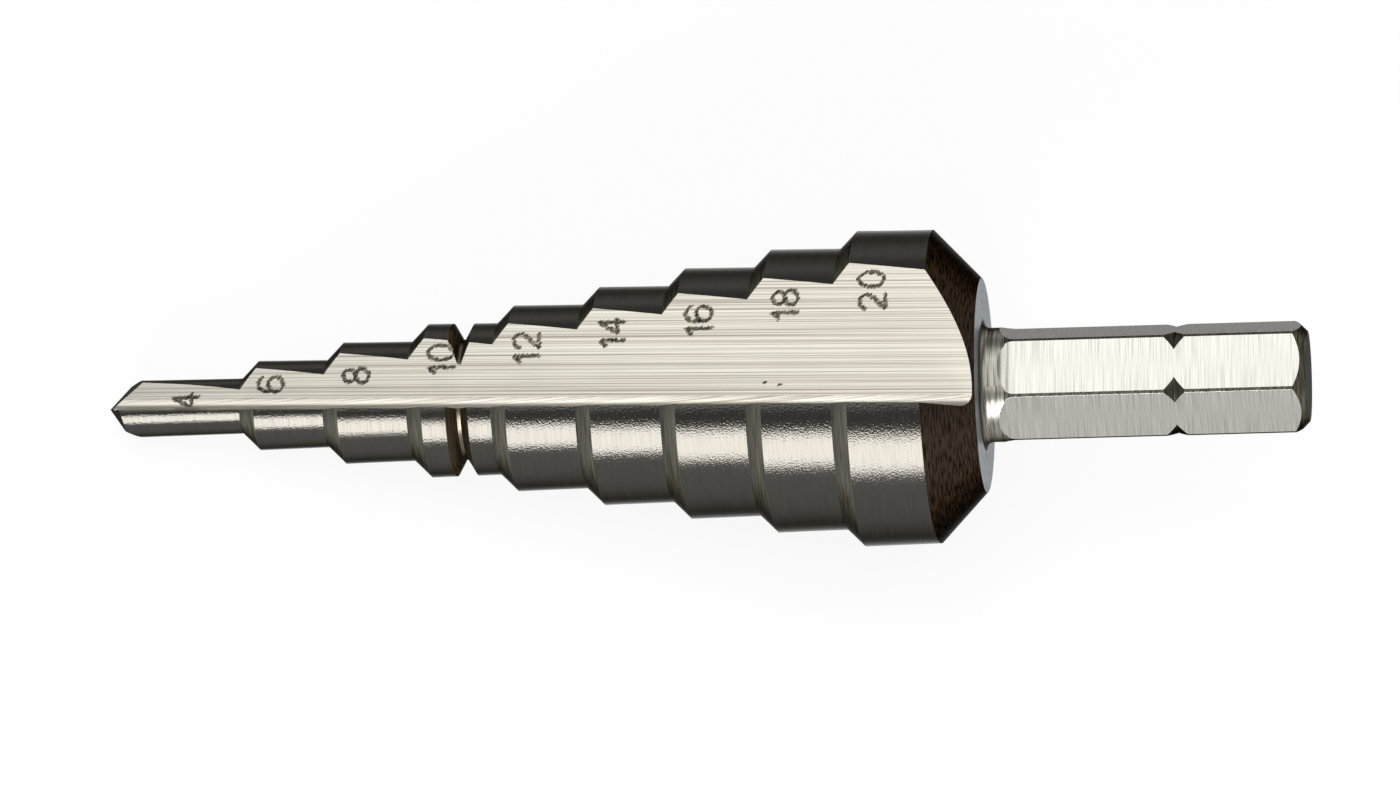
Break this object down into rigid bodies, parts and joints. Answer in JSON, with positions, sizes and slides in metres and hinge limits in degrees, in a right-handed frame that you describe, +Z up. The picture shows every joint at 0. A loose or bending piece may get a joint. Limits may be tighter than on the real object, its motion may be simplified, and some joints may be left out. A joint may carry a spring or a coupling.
{
  "type": "step drill",
  "caption": "Step drill for sheet metal: stepped conical head with two straight flutes, ring groove, and notched hexagonal shank.",
  "frame": {"origin": "middle of the drill's bounding box, on the surface that it rests on", "axes": "+X along the drill from its point towards its shank, which rises by 8.4 degrees; +Z up"},
  "size_m": [0.0746, 0.0196, 0.0181],
  "materials": {
    "tool_steel": "ground high speed steel"
  },
  "bodies": {
    "root": {"step_drill": "tool_steel"}
  },
  "joints": []
}
